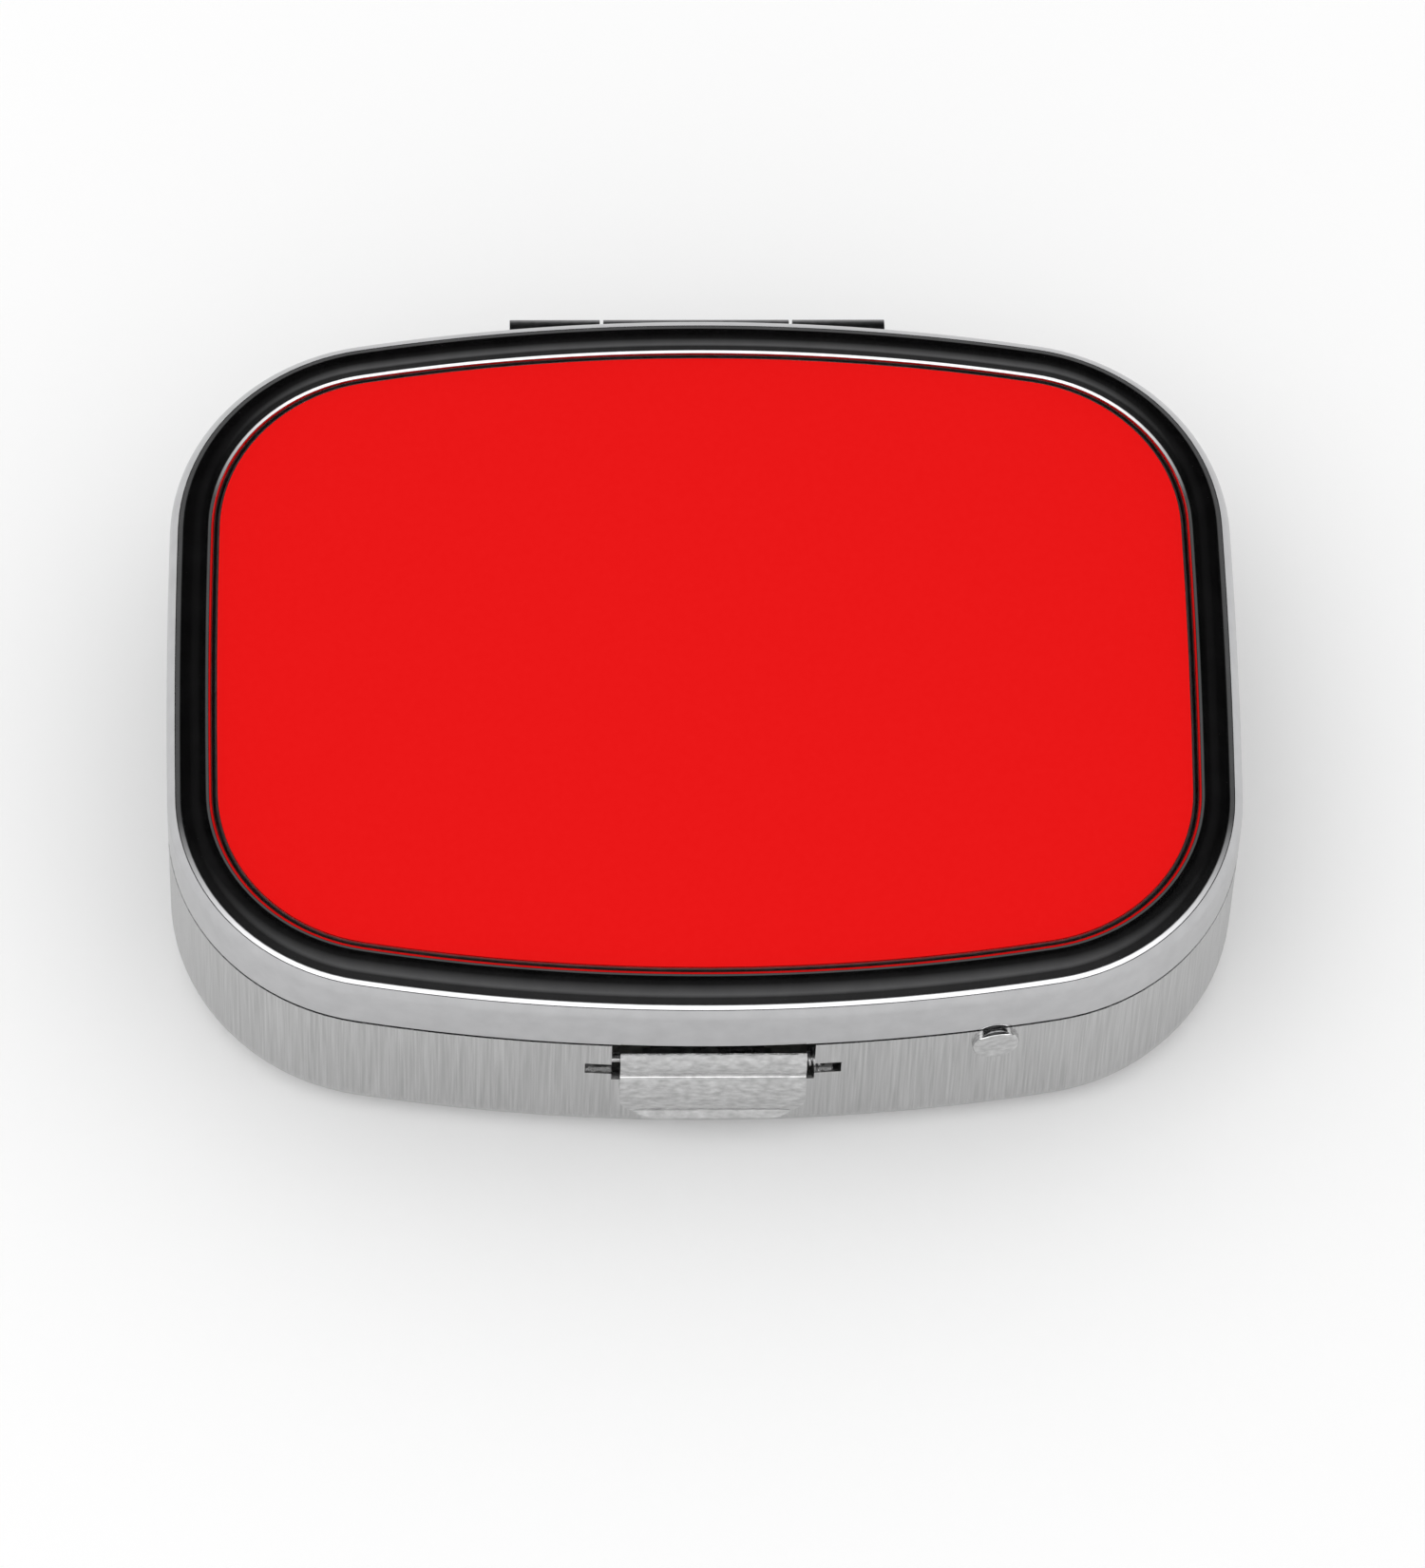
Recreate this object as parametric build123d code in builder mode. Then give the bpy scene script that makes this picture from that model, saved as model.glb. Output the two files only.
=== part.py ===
"""Pocket pill case: a two-piece metal box with a spring-held front latch.

Origin: centre of the base's flat underside. +X right, +Y to the hinge, +Z up.
All lengths are millimetres.
"""
from build123d import *
from math import atan2, cos, hypot, sin, sqrt
import os

# overall sizes
case_width = 57.0
case_depth = 43.0
seam_height = 9.8
case_height = 14.2
seam_gap = 0.1

# plan shape: eight tangent arcs
front_bow = 108.0
side_bow = 400.0
corner_radius = 12.0

# sheet metal
sheet = 0.5
base_edge_radius = 2.5
bead_radius = 1.5
bead_inset = 2.5
bead_inner_radius = 0.9
recess_floor = 13.1
lid_ceiling = 12.6
lid_inner_radius = 0.6
bead_hollow_start = 1.0
bead_hollow_end = 1.9
bead_hollow_top = 13.3

# decorative panel
panel_gap = 0.07
adhesive_thickness = 0.1
plate_thickness = 0.4
print_thickness = 0.1
print_margin = 0.12

# mirror inside the lid
mirror_inset = 3.4
mirror_thickness = 1.0
frame_inset = 1.3
frame_thickness = 0.9
frame_gap = 0.05

# tray
tray_gap = 0.05
tray_top = 9.6
tray_floor = 1.1
well_width = 22.0
well_depth = 34.0
well_corner = 6.0
well_x = 12.3
well_y = 0.8

# hinge
hinge_axis_y = 22.65
hinge_axis_z = 9.8
knuckle_radius = 0.95
hinge_pin_radius = 0.35
running_fit = 0.05
knuckle_left = -10.1
knuckle_right = 10.3
centre_left = -5.1
centre_right = 5.2
knuckle_gap = 0.1
leaf_thickness = 0.4
leaf_drop = 4.0
neck_thickness = 0.4

# latch
latch_left = -4.6
latch_right = 5.2
latch_bottom = 3.1
latch_top = 9.4
latch_axis_y = -20.65
latch_axis_z = 7.3
latch_pin_radius = 0.28
plate_back = -21.6
latch_corner = 2.2
roll_front = -21.95
roll_middle = 8.5
crease_depth = -21.74
crease_edge = -21.8
crease_half_height = 0.15
bulge_front = -22.1
bulge_middle = 5.3
lip_root = -21.9
lip_start = 3.7
lip_front = -22.1
lip_edge = 0.15
flange_thickness = 0.4
arm_back = -19.7
arm_front = -20.2
arm_half_width = 3.0
nose_reach = -20.6
nose_bottom = 10.45
nose_top = 11.1
catch_bottom = 9.95
catch_top = 10.35
catch_tip = -20.3
catch_half_width = 3.4
catch_thickness = 0.25
ear_thickness = 0.4
ear_left = -6.4
ear_right = 6.6
window_side = 0.45
window_sill = 6.2
slot_half_height = 0.5
slot_reach = 1.4
spring_wire = 0.09
spring_radius = 0.42
spring_pitch = 0.24

# front rivet
rivet_x = 15.15
rivet_z = 8.5
rivet_radius = 1.25
rivet_shank = 0.6
rivet_proud = 0.32
rivet_edge = 0.18
press_gap = 0.02

os.makedirs("parts", exist_ok=True)


def turn_points(inset):
    """Corner centre and the two tangent angles of one quarter of the outline."""
    half_w = case_width / 2 - inset
    half_d = case_depth / 2 - inset
    bow = front_bow - inset
    side = side_bow - inset
    corner = corner_radius - inset
    ax, ay = 0.0, half_d - bow
    bx, by = half_w - side, 0.0
    span = hypot(bx - ax, by - ay)
    ux, uy = (bx - ax) / span, (by - ay) / span
    along = (span ** 2 + (bow - corner) ** 2 - (side - corner) ** 2) / (2 * span)
    across = sqrt((bow - corner) ** 2 - along ** 2)
    first = (ax + along * ux - across * uy, ay + along * uy + across * ux)
    second = (ax + along * ux + across * uy, ay + along * uy - across * ux)
    centre = max(first, second, key=sum)
    start = atan2(centre[1] - ay, centre[0] - ax)
    end = atan2(centre[1] - by, centre[0] - bx)
    return half_w, half_d, corner, centre, start, end


def add_outline(inset, mode=Mode.ADD):
    """Add the case outline, moved inward by inset, to the open sketch."""
    half_w, half_d, corner, centre, start, end = turn_points(inset)
    mid = (start + end) / 2
    px = centre[0] + corner * cos(start)
    py = centre[1] + corner * sin(start)
    qx = centre[0] + corner * cos(end)
    qy = centre[1] + corner * sin(end)
    mx = centre[0] + corner * cos(mid)
    my = centre[1] + corner * sin(mid)
    with BuildLine() as outline:
        ThreePointArc((-px, py), (0, half_d), (px, py))
        ThreePointArc((px, py), (mx, my), (qx, qy))
        ThreePointArc((qx, qy), (half_w, 0), (qx, -qy))
        ThreePointArc((qx, -qy), (mx, -my), (px, -py))
        ThreePointArc((px, -py), (0, -half_d), (-px, -py))
        ThreePointArc((-px, -py), (-mx, -my), (-qx, -qy))
        ThreePointArc((-qx, -qy), (-half_w, 0), (-qx, qy))
        ThreePointArc((-qx, qy), (-mx, my), (-px, py))
    make_face(outline.edges(), mode=mode)


def add_block(x0, x1, y0, y1, z0, z1, mode=Mode.ADD):
    """Add or cut a box given by its six sides in the open part."""
    with Locations(((x0 + x1) / 2, (y0 + y1) / 2, (z0 + z1) / 2)):
        Box(x1 - x0, y1 - y0, z1 - z0, mode=mode)


def add_rod(radius, x0, x1, y, z, mode=Mode.ADD):
    """Add or cut a rod parallel to X in the open part."""
    with Locations(Location(((x0 + x1) / 2, y, z), (0, 90, 0))):
        Cylinder(radius, x1 - x0, mode=mode)


# plane on the front wall that the rivet stands on, square to the bowed wall
rivet_slope = rivet_x / front_bow
rivet_wall = case_depth / 2 - front_bow + sqrt(front_bow ** 2 - rivet_x ** 2)
rivet_plane = Plane(origin=(rivet_x, -rivet_wall, rivet_z),
                    z_dir=(rivet_slope, -sqrt(1 - rivet_slope ** 2), 0))

# base shell
with BuildPart() as base_shell:
    with BuildSketch():
        add_outline(0)
    extrude(amount=seam_height)
    fillet(base_shell.edges().group_by(Axis.Z)[0], base_edge_radius)
    with BuildPart(mode=Mode.SUBTRACT) as base_hollow:
        with BuildSketch(Plane.XY.offset(sheet)):
            add_outline(sheet)
        extrude(amount=seam_height)
        fillet(base_hollow.edges().group_by(Axis.Z)[0], base_edge_radius - sheet)
    add_block(latch_left - window_side, latch_right + window_side,
              -case_depth / 2 - 1, -case_depth / 2 + 2, window_sill, seam_height + 1,
              mode=Mode.SUBTRACT)
    add_block(latch_left - window_side - slot_reach, latch_right + window_side + slot_reach,
              -case_depth / 2 - 1, -case_depth / 2 + 2,
              latch_axis_z - slot_half_height, latch_axis_z + slot_half_height,
              mode=Mode.SUBTRACT)
    add_block(knuckle_left - knuckle_gap, centre_left,
              case_depth / 2 - 2, case_depth / 2 + 1,
              seam_height - 2 * neck_thickness, seam_height + 1, mode=Mode.SUBTRACT)
    add_block(centre_right, knuckle_right + knuckle_gap,
              case_depth / 2 - 2, case_depth / 2 + 1,
              seam_height - 2 * neck_thickness, seam_height + 1, mode=Mode.SUBTRACT)
    with BuildSketch(rivet_plane):
        Circle(rivet_shank + press_gap)
    extrude(amount=2, both=True, mode=Mode.SUBTRACT)

# two-well tray
with BuildPart() as tray:
    with BuildSketch(Plane.XY.offset(sheet)):
        add_outline(sheet + tray_gap)
    extrude(amount=tray_top - sheet)
    fillet(tray.edges().group_by(Axis.Z)[0], base_edge_radius - sheet + 2 * tray_gap)
    with BuildSketch(Plane.XY.offset(tray_floor)):
        with Locations((-well_x, well_y), (well_x, well_y)):
            RectangleRounded(well_width, well_depth, well_corner)
    extrude(amount=tray_top, mode=Mode.SUBTRACT)
    add_block(ear_left - 1.5, rivet_x + 2.8, -case_depth, arm_back + 1.5,
              3.2, tray_top + 1, mode=Mode.SUBTRACT)
    add_block(knuckle_left - 1, knuckle_right + 1,
              case_depth / 2 - sheet - leaf_thickness - 0.8, case_depth,
              seam_height - leaf_drop - 0.8, tray_top + 1, mode=Mode.SUBTRACT)

# hinge leaf fixed to the base: its two outer knuckles
with BuildPart() as base_hinge_leaf:
    with BuildSketch(Plane.XY.offset(seam_height - leaf_drop)):
        add_outline(sheet)
        add_outline(sheet + leaf_thickness, mode=Mode.SUBTRACT)
        with Locations(((knuckle_left + knuckle_right) / 2, case_depth / 2)):
            Rectangle(knuckle_right - knuckle_left, 6, mode=Mode.INTERSECT)
    extrude(amount=leaf_drop - 1.5 * neck_thickness)
    for x0, x1 in ((knuckle_left, centre_left - knuckle_gap),
                   (centre_right + knuckle_gap, knuckle_right)):
        add_block(x0, x1, case_depth / 2 - sheet - leaf_thickness - 0.3, hinge_axis_y - 0.5,
                  seam_height - 1.5 * neck_thickness, seam_height - 0.5 * neck_thickness)
        add_rod(knuckle_radius, x0, x1, hinge_axis_y, hinge_axis_z)
    add_rod(hinge_pin_radius, knuckle_left - 1, knuckle_right + 1,
            hinge_axis_y, hinge_axis_z, mode=Mode.SUBTRACT)

# hinge pin, tight in the base's knuckles
with BuildPart() as hinge_pin:
    add_rod(hinge_pin_radius, knuckle_left, knuckle_right, hinge_axis_y, hinge_axis_z)

# bracket that carries the latch pin
strap_top = latch_axis_z - 1.4
strap_bottom = 3.4
with BuildPart() as latch_bracket:
    with BuildSketch(Plane.XY.offset(strap_bottom)):
        add_outline(sheet)
        add_outline(sheet + ear_thickness, mode=Mode.SUBTRACT)
        with Locations(((ear_left + ear_right) / 2, -case_depth / 2)):
            Rectangle(ear_right - ear_left, 6, mode=Mode.INTERSECT)
    extrude(amount=strap_top - strap_bottom)
    with BuildSketch(Plane.XY.offset(rivet_z - 0.9)):
        add_outline(sheet)
        add_outline(sheet + ear_thickness, mode=Mode.SUBTRACT)
        with Locations(((ear_right - ear_thickness + rivet_x + 1.5) / 2, -case_depth / 2)):
            Rectangle(rivet_x + 1.5 - ear_right + ear_thickness, 6, mode=Mode.INTERSECT)
    extrude(amount=1.8)
    for x0 in (ear_left, ear_right - ear_thickness):
        add_block(x0, x0 + ear_thickness, -20.75, arm_back - 0.2, strap_bottom, rivet_z + 0.2)
    add_rod(latch_pin_radius, ear_left - 1, ear_right + 1,
            latch_axis_y, latch_axis_z, mode=Mode.SUBTRACT)
    with BuildSketch(rivet_plane):
        Circle(rivet_shank + press_gap)
    extrude(amount=2, both=True, mode=Mode.SUBTRACT)

# latch pin, tight in the bracket's ears
with BuildPart() as latch_pin:
    add_rod(latch_pin_radius, ear_left, ear_right, latch_axis_y, latch_axis_z)

# flat-headed rivet through the front wall and the bracket's long tab
with BuildPart() as front_rivet:
    with BuildSketch(rivet_plane):
        Circle(rivet_radius)
    extrude(amount=rivet_proud)
    fillet(front_rivet.edges().filter_by(GeomType.CIRCLE).sort_by(Axis.Y)[0], rivet_edge)
    with BuildSketch(rivet_plane):
        Circle(rivet_shank)
    extrude(amount=-(sheet + ear_thickness + 0.25))

# latch lever
with BuildPart() as latch_lever:
    with BuildSketch(Plane.YZ.offset(latch_left)):
        with BuildLine():
            ThreePointArc((plate_back, latch_top), (roll_front, roll_middle),
                          (crease_edge, latch_axis_z + crease_half_height))
            ThreePointArc((crease_edge, latch_axis_z + crease_half_height),
                          (crease_depth, latch_axis_z),
                          (crease_edge, latch_axis_z - crease_half_height))
            ThreePointArc((crease_edge, latch_axis_z - crease_half_height),
                          (bulge_front, bulge_middle), (lip_root, lip_start))
            Polyline((lip_root, lip_start), (lip_front, latch_bottom + lip_edge),
                     (lip_front, latch_bottom), (plate_back, latch_bottom),
                     (plate_back, latch_top))
        make_face()
    extrude(amount=latch_right - latch_left)
    with BuildSketch(Plane.XZ.offset(-plate_back)):
        with Locations(((latch_left + latch_right) / 2, (latch_bottom + latch_top) / 2 + 2)):
            RectangleRounded(latch_right - latch_left, latch_top - latch_bottom + 4, latch_corner)
    extrude(amount=2, mode=Mode.INTERSECT)
    for x0 in (latch_left, latch_right - flange_thickness):
        add_block(x0, x0 + flange_thickness, plate_back, arm_front, latch_axis_z - 0.7, 8.8)
    add_block(latch_left, latch_right, plate_back, arm_back, 8.3, 8.8)
    add_block(-arm_half_width, arm_half_width, arm_front, arm_back, 8.3, nose_top)
    add_block(-arm_half_width, arm_half_width, nose_reach, arm_back, nose_bottom, nose_top)
    add_rod(latch_pin_radius + running_fit, latch_left - 1, latch_right + 1,
            latch_axis_y, latch_axis_z, mode=Mode.SUBTRACT)

# torsion spring wound on the latch pin
with BuildPart() as latch_spring:
    with BuildLine() as coil:
        Helix(spring_pitch, 3 * spring_pitch, spring_radius,
              center=(latch_right + 0.15, latch_axis_y, latch_axis_z), direction=(1, 0, 0))
    with BuildSketch(Plane(origin=coil.line @ 0, z_dir=coil.line % 0)):
        Circle(spring_wire)
    sweep(is_frenet=True)

# lid shell
with BuildPart() as lid_shell:
    with BuildSketch(Plane.XY.offset(seam_height + seam_gap)):
        add_outline(0)
    extrude(amount=case_height - seam_height - seam_gap)
    fillet(lid_shell.edges().group_by(Axis.Z)[-1], bead_radius)
    with BuildSketch(Plane.XY.offset(recess_floor)):
        add_outline(bead_inset)
    extrude(amount=case_height, mode=Mode.SUBTRACT)
    rim_edges = lid_shell.edges().group_by(Axis.Z)[-1]
    rim_reach = (bead_radius + bead_inset) / 2
    fillet([e for e in rim_edges if abs((e @ 0.5).X) < case_width / 2 - rim_reach
            and abs((e @ 0.5).Y) < case_depth / 2 - rim_reach], bead_inner_radius)
    with BuildPart(mode=Mode.SUBTRACT) as lid_hollow:
        with BuildSketch(Plane.XY.offset(seam_height)):
            add_outline(sheet)
        extrude(amount=lid_ceiling - seam_height)
        fillet(lid_hollow.edges().group_by(Axis.Z)[-1], lid_inner_radius)
    with BuildSketch(Plane.XY.offset(lid_ceiling - 0.1)):
        add_outline(bead_hollow_start)
        add_outline(bead_hollow_end, mode=Mode.SUBTRACT)
    extrude(amount=bead_hollow_top - lid_ceiling + 0.1, mode=Mode.SUBTRACT)
    add_block(centre_left, centre_right, case_depth / 2 - 2, case_depth / 2 + 1,
              seam_height, seam_height + seam_gap + 1.5 * neck_thickness, mode=Mode.SUBTRACT)

# hinge leaf fixed to the lid: its centre knuckle
leaf_bottom = seam_height + 0.5 * neck_thickness
with BuildPart() as lid_hinge_leaf:
    with BuildSketch(Plane.XY.offset(leaf_bottom)):
        add_outline(sheet)
        add_outline(sheet + leaf_thickness, mode=Mode.SUBTRACT)
        with Locations(((centre_left + centre_right) / 2, case_depth / 2)):
            Rectangle(centre_right - centre_left - 2 * knuckle_gap, 6, mode=Mode.INTERSECT)
    extrude(amount=2.0)
    add_block(centre_left + knuckle_gap, centre_right - knuckle_gap,
              case_depth / 2 - sheet - leaf_thickness, hinge_axis_y - 0.5,
              leaf_bottom, leaf_bottom + neck_thickness)
    add_rod(knuckle_radius, centre_left + knuckle_gap, centre_right - knuckle_gap,
            hinge_axis_y, hinge_axis_z)
    add_rod(hinge_pin_radius + running_fit, centre_left - 1, centre_right + 1,
            hinge_axis_y, hinge_axis_z, mode=Mode.SUBTRACT)

# catch strip inside the lid's front skirt
with BuildPart() as lid_catch:
    with BuildSketch(Plane.XY.offset(catch_bottom)):
        add_outline(sheet)
        add_outline(sheet + catch_thickness, mode=Mode.SUBTRACT)
        with Locations((0, -case_depth / 2)):
            Rectangle(2 * catch_half_width, 6, mode=Mode.INTERSECT)
    extrude(amount=2.0)
    add_block(-catch_half_width, catch_half_width, -case_depth / 2 + sheet + 0.1, catch_tip,
              catch_bottom, catch_top)

# panel in the lid's recess: adhesive, metal plate and printed film
with BuildPart() as panel_adhesive:
    with BuildSketch(Plane.XY.offset(recess_floor)):
        add_outline(bead_inset + panel_gap + print_margin)
    extrude(amount=adhesive_thickness)

with BuildPart() as panel_plate:
    with BuildSketch(Plane.XY.offset(recess_floor + adhesive_thickness)):
        add_outline(bead_inset + panel_gap)
    extrude(amount=plate_thickness)

with BuildPart() as panel_print:
    with BuildSketch(Plane.XY.offset(recess_floor + adhesive_thickness + plate_thickness)):
        add_outline(bead_inset + panel_gap + print_margin)
    extrude(amount=print_thickness)

# mirror under the lid: adhesive, glass and frame
with BuildPart() as mirror_adhesive:
    with BuildSketch(Plane.XY.offset(lid_ceiling - adhesive_thickness)):
        add_outline(mirror_inset + 0.3)
    extrude(amount=adhesive_thickness)

with BuildPart() as mirror_glass:
    with BuildSketch(Plane.XY.offset(lid_ceiling - adhesive_thickness - mirror_thickness)):
        add_outline(mirror_inset)
    extrude(amount=mirror_thickness)

with BuildPart() as mirror_frame:
    with BuildSketch(Plane.XY.offset(lid_ceiling - frame_thickness)):
        add_outline(frame_inset)
        add_outline(mirror_inset - frame_gap, mode=Mode.SUBTRACT)
    extrude(amount=frame_thickness)

pieces = {
    "base_shell": base_shell,
    "tray": tray,
    "base_hinge_leaf": base_hinge_leaf,
    "hinge_pin": hinge_pin,
    "latch_bracket": latch_bracket,
    "latch_pin": latch_pin,
    "front_rivet": front_rivet,
    "latch_lever": latch_lever,
    "latch_spring": latch_spring,
    "lid_shell": lid_shell,
    "lid_hinge_leaf": lid_hinge_leaf,
    "lid_catch": lid_catch,
    "panel_adhesive": panel_adhesive,
    "panel_plate": panel_plate,
    "panel_print": panel_print,
    "mirror_adhesive": mirror_adhesive,
    "mirror_glass": mirror_glass,
    "mirror_frame": mirror_frame,
}
for piece_name, piece in pieces.items():
    piece.part.label = piece_name
    export_step(piece.part, f"parts/{piece_name}.step")
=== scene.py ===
# %% [markdown]
# # A pocket pill case, dressed for its portrait
#
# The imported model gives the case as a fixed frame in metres: origin at the
# centre of the flat underside, +X right, +Y back to the hinge, +Z up. This
# lesson rebuilds the polished lid as a smooth swept surface, gives every piece
# a procedural material, and sets up a plain studio and the camera.

# %% Load the frame
import math
import bpy
import numpy as np
from mathutils import Matrix, Vector


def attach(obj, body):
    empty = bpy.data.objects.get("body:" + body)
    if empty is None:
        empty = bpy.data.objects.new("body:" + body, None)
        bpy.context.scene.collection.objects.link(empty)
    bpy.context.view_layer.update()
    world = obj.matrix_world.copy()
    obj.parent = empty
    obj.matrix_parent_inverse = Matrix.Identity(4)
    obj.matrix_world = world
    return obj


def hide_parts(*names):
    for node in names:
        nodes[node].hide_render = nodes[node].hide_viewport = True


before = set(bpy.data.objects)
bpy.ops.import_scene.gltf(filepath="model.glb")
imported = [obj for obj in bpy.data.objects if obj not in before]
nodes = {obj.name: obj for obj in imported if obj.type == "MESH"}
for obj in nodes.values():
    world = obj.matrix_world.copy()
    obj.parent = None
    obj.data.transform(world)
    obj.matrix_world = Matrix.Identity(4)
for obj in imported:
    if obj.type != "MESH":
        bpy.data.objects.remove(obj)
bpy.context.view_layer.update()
print("nodes:", sorted(nodes))

# %% [markdown]
# ## The plan outline
#
# The case's outline is eight arcs that meet without a kink: a wide bow at the
# front and back, an almost straight bow at each side, and four round corners.
# Moving it inward by `inset` shortens every radius by that same inset. A
# corner's centre lies at distance R1 - r from the front bow's centre and
# R2 - r from the side bow's centre, where the two circles cross.

# %% Outline of the case
MM = 0.001
WIDTH, DEPTH = 57.0, 43.0
FRONT_BOW, SIDE_BOW, CORNER = 108.0, 400.0, 12.0


def outline(inset, per_arc=24):
    """Closed loop of (x, y) in mm; each point is arc centre + radius * (cos t, sin t)."""
    half_w, half_d = WIDTH / 2 - inset, DEPTH / 2 - inset
    bow, side, corner = FRONT_BOW - inset, SIDE_BOW - inset, CORNER - inset
    c1 = np.array([0.0, half_d - bow])
    c2 = np.array([half_w - side, 0.0])
    span = np.linalg.norm(c2 - c1)
    u = (c2 - c1) / span
    v = np.array([-u[1], u[0]])
    along = (span ** 2 + (bow - corner) ** 2 - (side - corner) ** 2) / (2 * span)
    across = math.sqrt((bow - corner) ** 2 - along ** 2)
    centre = max((c1 + along * u + across * v, c1 + along * u - across * v), key=sum)
    start = math.atan2(*(centre - c1)[::-1])
    end = math.atan2(*(centre - c2)[::-1])
    arcs = [(c2, side, 0.0, end), (centre, corner, end, start), (c1, bow, start, math.pi / 2)]
    quarter = []
    for c, r, t0, t1 in arcs:
        t = np.linspace(t0, t1, per_arc, endpoint=False)[:, None]
        quarter.append(c + r * np.hstack([np.cos(t), np.sin(t)]))
    q = np.vstack(quarter + [np.array([[0.0, half_d]])])
    back_left = q[::-1][1:] * [-1, 1]
    front_left = q[1:] * [-1, -1]
    front_right = q[::-1][1:-1] * [1, -1]
    return np.vstack([q, back_left, front_left, front_right])


print("outline points:", len(outline(0)))

# %% [markdown]
# ## The polished lid
#
# A list of (inset, height) pairs is swept round the outline: up inside the
# skirt, round its lower rim, up the outside, over the bead and down into the
# recess. Its rounds are quarter circles, inset = a + r cos t, z = b + r sin t.
# This lid is solid under the bead and has no notch for the hinge's neck, which
# the CAD lid has.

# %% Sweep the lid's section round the outline
RIM = 0.12
SHARP_ANGLE = 35


def arc(a, b, r, t0, t1, count=14):
    """Points (a + r cos t, b + r sin t) for t from t0 to t1 degrees."""
    t = np.radians(np.linspace(t0, t1, count))
    return [(a + r * math.cos(x), b + r * math.sin(x)) for x in t]


def swept(name, section):
    """Closed solid: ring i is outline(inset_i) at height z_i, and both ends are capped flat."""
    rings = [np.column_stack([outline(d), np.full(len(outline(d)), z)]) for d, z in section]
    points = np.vstack(rings) * MM
    n = len(rings[0])
    faces = []
    for i in range(len(rings) - 1):
        for k in range(n):
            m = (k + 1) % n
            faces.append((i * n + k, i * n + m, (i + 1) * n + m, (i + 1) * n + k))
    faces.append(tuple(range(n))[::-1])
    faces.append(tuple(range((len(rings) - 1) * n, len(rings) * n)))
    mesh = bpy.data.meshes.new(name)
    mesh.from_pydata(points.tolist(), [], faces)
    mesh.validate()
    mesh.shade_smooth()
    mesh.set_sharp_from_angle(angle=math.radians(SHARP_ANGLE))
    piece = bpy.data.objects.new(name, mesh)
    bpy.context.scene.collection.objects.link(piece)
    return piece


lid_section = (
    [(9.0, 12.6), (1.1, 12.6)]
    + arc(1.1, 12.0, 0.6, 90, 180, 8)
    + [(0.5, 10.1)]
    + arc(0.5 - RIM, 9.9 + RIM, RIM, 0, -90, 6)
    + arc(RIM, 9.9 + RIM, RIM, -90, -180, 6)
    + [(0.0, 11.0)]
    + arc(1.5, 12.7, 1.5, 180, 90, 26)
    + arc(1.6, 13.3, 0.9, 90, 0, 16)
    + [(2.5, 13.1), (9.0, 13.1)]
)
lid = swept("polished_lid", lid_section)
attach(lid, "lid")
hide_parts("lid_shell")
print("lid faces:", len(lid.data.polygons))

# %% [markdown]
# ## Materials
#
# Every material is a small node tree in Object coordinates. Stretching the
# coordinates before the noise gives drawn metal its fine vertical streaks.

# %% Material helper


def material(name, dark, light, rough, metal=0.0, scale=400.0, stretch=(1, 1, 1), bump=0.02,
             rough_spread=0.05, specular=0.5):
    """Noise mixes dark into light, moves the roughness by rough_spread and drives a fine bump."""
    mat = bpy.data.materials.new(name)
    mat.use_nodes = True
    tree = mat.node_tree
    shader = tree.nodes["Principled BSDF"]
    coord = tree.nodes.new("ShaderNodeTexCoord")
    mapping = tree.nodes.new("ShaderNodeMapping")
    mapping.inputs["Scale"].default_value = stretch
    noise = tree.nodes.new("ShaderNodeTexNoise")
    noise.inputs["Scale"].default_value = scale
    noise.inputs["Detail"].default_value = 4.0
    ramp = tree.nodes.new("ShaderNodeValToRGB")
    ramp.color_ramp.elements[0].position = 0.3
    ramp.color_ramp.elements[1].position = 0.7
    ramp.color_ramp.elements[0].color = (*dark, 1)
    ramp.color_ramp.elements[1].color = (*light, 1)
    level = tree.nodes.new("ShaderNodeMapRange")
    level.inputs["To Min"].default_value = max(0.0, rough - rough_spread)
    level.inputs["To Max"].default_value = rough + rough_spread
    relief = tree.nodes.new("ShaderNodeBump")
    relief.inputs["Strength"].default_value = bump
    relief.inputs["Distance"].default_value = 0.00005
    link = tree.links.new
    link(coord.outputs["Object"], mapping.inputs["Vector"])
    link(mapping.outputs["Vector"], noise.inputs["Vector"])
    link(noise.outputs["Fac"], ramp.inputs["Fac"])
    link(noise.outputs["Fac"], level.inputs["Value"])
    link(noise.outputs["Fac"], relief.inputs["Height"])
    link(ramp.outputs["Color"], shader.inputs["Base Color"])
    link(level.outputs["Result"], shader.inputs["Roughness"])
    link(relief.outputs["Normal"], shader.inputs["Normal"])
    shader.inputs["Metallic"].default_value = metal
    shader.inputs["Specular IOR Level"].default_value = specular
    return mat


def wear(obj, mat):
    """Give the whole object this one material."""
    obj.data.materials.clear()
    obj.data.materials.append(mat)


# %% [markdown]
# Metals differ in tint, roughness and the size of their streaks. The red film
# has no specular part, because the real panel shows no reflection.

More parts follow.
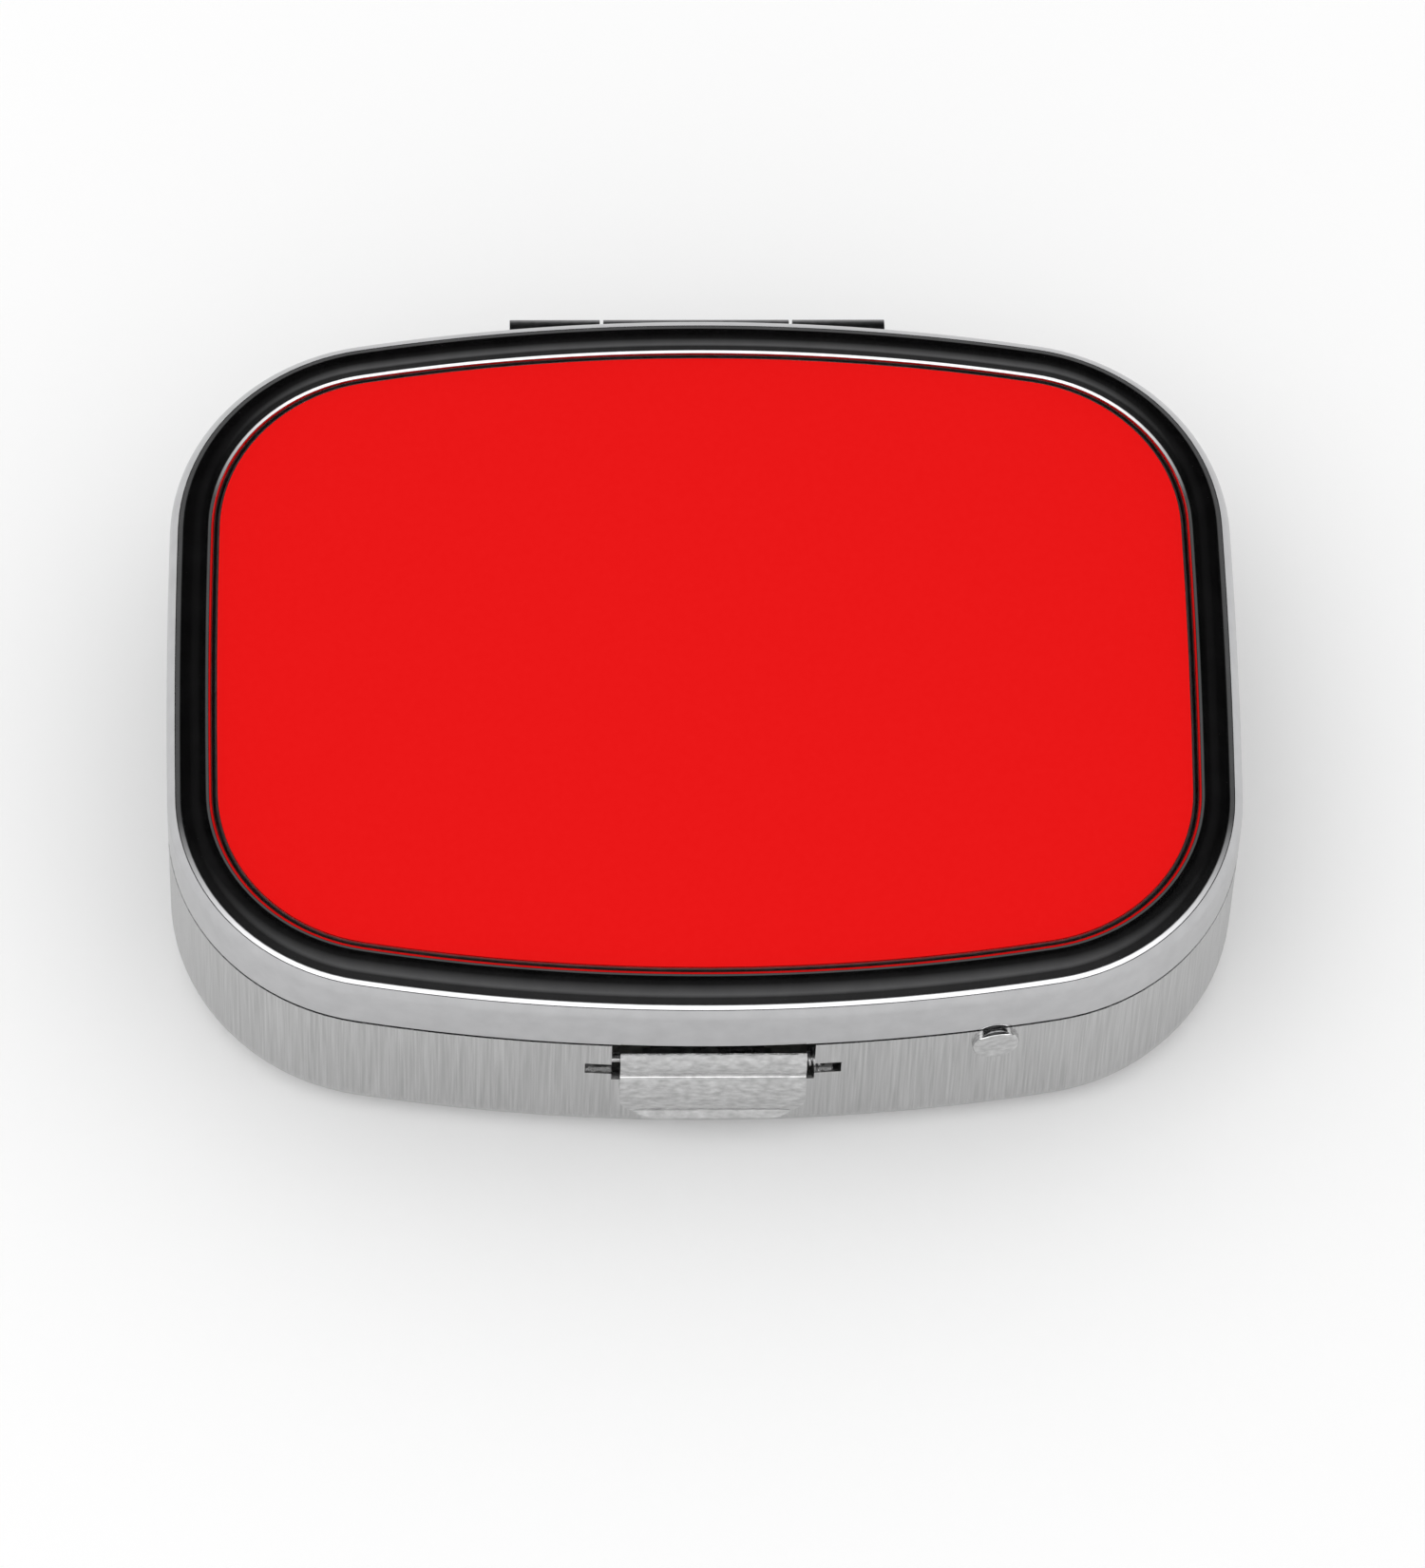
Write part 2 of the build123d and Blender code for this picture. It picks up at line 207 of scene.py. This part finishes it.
# %% Metals, plastics and film
polish = material("polished_bead", (0.60, 0.60, 0.61), (0.66, 0.66, 0.67), 0.07, 1.0,
                  scale=900, bump=0.03, rough_spread=0.03)
drawn = material("drawn_wall", (0.50, 0.50, 0.50), (0.68, 0.68, 0.68), 0.16, 1.0,
                 scale=9000, stretch=(1, 1, 0.02), bump=0.35, rough_spread=0.06)
lever_metal = material("lever_metal", (0.50, 0.50, 0.50), (0.78, 0.78, 0.78), 0.10, 1.0,
                       scale=3500, stretch=(0.5, 1, 1), bump=0.1, rough_spread=0.05)
hinge_metal = material("hinge_metal", (0.14, 0.14, 0.145), (0.24, 0.24, 0.245), 0.32, 1.0,
                       scale=1600, bump=0.1)
inner_metal = material("inner_metal", (0.42, 0.42, 0.42), (0.55, 0.55, 0.55), 0.28, 1.0, scale=1200)
plate_metal = material("plate_metal", (0.80, 0.78, 0.77), (0.90, 0.88, 0.87), 0.35, 1.0, scale=1500)
red_film = material("red_film", (0.815, 0.0085, 0.0085), (0.825, 0.0095, 0.0095), 0.6, 0.0,
                    scale=2500, bump=0.01, specular=0.0)
white_plastic = material("white_plastic", (0.84, 0.84, 0.82), (0.90, 0.90, 0.88), 0.25, 0.0,
                         scale=700, bump=0.05)
adhesive = material("adhesive", (0.75, 0.74, 0.70), (0.84, 0.83, 0.79), 0.6, 0.0, scale=900)
silvered = material("silvered_glass", (0.88, 0.89, 0.89), (0.90, 0.91, 0.91), 0.02, 1.0,
                    scale=200, bump=0.0, rough_spread=0.01)
looks = {
    "base_shell": drawn, "front_rivet": lever_metal, "latch_lever": lever_metal,
    "latch_pin": inner_metal, "latch_spring": inner_metal, "latch_bracket": inner_metal,
    "hinge_pin": inner_metal, "lid_catch": inner_metal, "base_hinge_leaf": hinge_metal,
    "lid_hinge_leaf": hinge_metal, "lid_shell": polish, "panel_plate": plate_metal,
    "panel_print": red_film, "panel_adhesive": adhesive, "mirror_adhesive": adhesive,
    "mirror_glass": silvered, "mirror_frame": white_plastic, "tray": white_plastic,
}
for node_name, look in looks.items():
    wear(nodes[node_name], look)
wear(lid, polish)
print("materials:", len(bpy.data.materials))

# %% [markdown]
# ## Studio
#
# The floor is pale for light that bounces and white where the camera looks at
# it, so the page stays near white and keeps the soft shadow.

# %% Floor
floor_mesh = bpy.data.meshes.new("floor")
REACH = 3.0
floor_mesh.from_pydata([(-REACH, -REACH, 0), (REACH, -REACH, 0), (REACH, REACH, 0),
                        (-REACH, REACH, 0)], [], [(0, 1, 2, 3)])
floor = bpy.data.objects.new("floor", floor_mesh)
bpy.context.scene.collection.objects.link(floor)
floor_mat = bpy.data.materials.new("floor")
floor_mat.use_nodes = True
ft = floor_mat.node_tree
paper = ft.nodes["Principled BSDF"]
paper.inputs["Roughness"].default_value = 1.0
paper.inputs["Specular IOR Level"].default_value = 0.0
path = ft.nodes.new("ShaderNodeLightPath")
shade = ft.nodes.new("ShaderNodeMix")
shade.data_type = "RGBA"
shade.inputs[6].default_value = (0.80, 0.80, 0.80, 1)
shade.inputs[7].default_value = (1, 1, 1, 1)
ft.links.new(path.outputs["Is Camera Ray"], shade.inputs[0])
ft.links.new(shade.outputs[2], paper.inputs["Base Color"])
floor.data.materials.append(floor_mat)

# %% [markdown]
# The world is an even pale white for plain light. Reflections see a different
# one: a band above the horizon that is twice as bright as white towards the
# front and dim towards the back, under a nearly black ceiling. This is what
# turns the bead black with one bright line.

# %% World
world = bpy.data.worlds.new("studio")
bpy.context.scene.world = world
world.use_nodes = True
wt = world.node_tree
plain = wt.nodes["Background"]
plain.inputs["Color"].default_value = (1, 1, 1, 1)
plain.inputs["Strength"].default_value = 0.92
tent = wt.nodes.new("ShaderNodeBackground")
ray = wt.nodes.new("ShaderNodeLightPath")
sky = wt.nodes.new("ShaderNodeTexCoord")
split = wt.nodes.new("ShaderNodeSeparateXYZ")
link = wt.links.new
link(sky.outputs["Generated"], split.inputs[0])


def sky_ramp(source, stops):
    """Colour ramp over one part of the ray's direction; stops are (position, grey) pairs."""
    ramp = wt.nodes.new("ShaderNodeValToRGB")
    ramp.color_ramp.elements[0].position = stops[0][0]
    ramp.color_ramp.elements[1].position = stops[-1][0]
    for position, _ in stops[1:-1]:
        ramp.color_ramp.elements.new(position)
    for element, (_, grey) in zip(ramp.color_ramp.elements, stops):
        element.color = (grey, grey, grey, 1)
    link(source, ramp.inputs["Fac"])
    return ramp.outputs["Color"]


heights = sky_ramp(split.outputs["Z"], [(0.0, 0.02), (0.05, 0.02), (0.08, 1.0), (0.34, 1.0),
                                        (0.42, 0.015), (0.8, 0.02), (0.92, 0.10)])
toward_front = wt.nodes.new("ShaderNodeMapRange")
toward_front.inputs["From Min"].default_value = 0.35
toward_front.inputs["From Max"].default_value = -0.75
toward_front.inputs["To Min"].default_value = 0.12
toward_front.inputs["To Max"].default_value = 2.0
link(split.outputs["Y"], toward_front.inputs["Value"])
link(toward_front.outputs["Result"], tent.inputs["Strength"])
blend = wt.nodes.new("ShaderNodeMixShader")
link(heights, tent.inputs["Color"])
link(ray.outputs["Is Glossy Ray"], blend.inputs[0])
link(plain.outputs[0], blend.inputs[1])
link(tent.outputs[0], blend.inputs[2])
link(blend.outputs[0], wt.nodes["World Output"].inputs["Surface"])

# %% [markdown]
# One large soft lamp gives the shadow a direction. Reflections don't see it.

# %% Soft key light
key = bpy.data.lights.new("key", "AREA")
key.size = 0.5
key.energy = 0.5
key_object = bpy.data.objects.new("key", key)
key_object.location = (-0.25, -0.2, 0.6)
key_object.rotation_euler = (-Vector(key_object.location)).to_track_quat("-Z", "Y").to_euler()
key_object.visible_glossy = False
bpy.context.scene.collection.objects.link(key_object)
print("studio ready")

# %% [markdown]
# ## Camera
#
# A long lens from the front and above. The three axes are worked out from the
# elevation, the yaw and a small roll, and the camera backs away from a point
# in the middle of the case.

# %% Camera
elevation, yaw, roll = map(math.radians, (59.49, -3.17, 2.60))
DISTANCE = 0.57337
back = Vector((math.sin(yaw) * math.cos(elevation), -math.cos(yaw) * math.cos(elevation),
               math.sin(elevation)))
right = Vector((math.cos(yaw), math.sin(yaw), 0))
up = back.cross(right)
across = math.cos(roll) * right + math.sin(roll) * up
upward = -math.sin(roll) * right + math.cos(roll) * up
lens = bpy.data.cameras.new("camera")
lens.sensor_width = 36
lens.lens = 245.4
lens.shift_x = 0.0076
lens.shift_y = -0.0398
lens.clip_start = 0.01
camera = bpy.data.objects.new("camera", lens)
place = Vector((0, 0, 0.007)) + DISTANCE * back
camera.matrix_world = Matrix.Translation(place) @ Matrix(
    [(across[i], upward[i], back[i]) for i in range(3)]).to_4x4()
bpy.context.scene.collection.objects.link(camera)
bpy.context.scene.camera = camera
bpy.context.scene.view_settings.view_transform = "Standard"
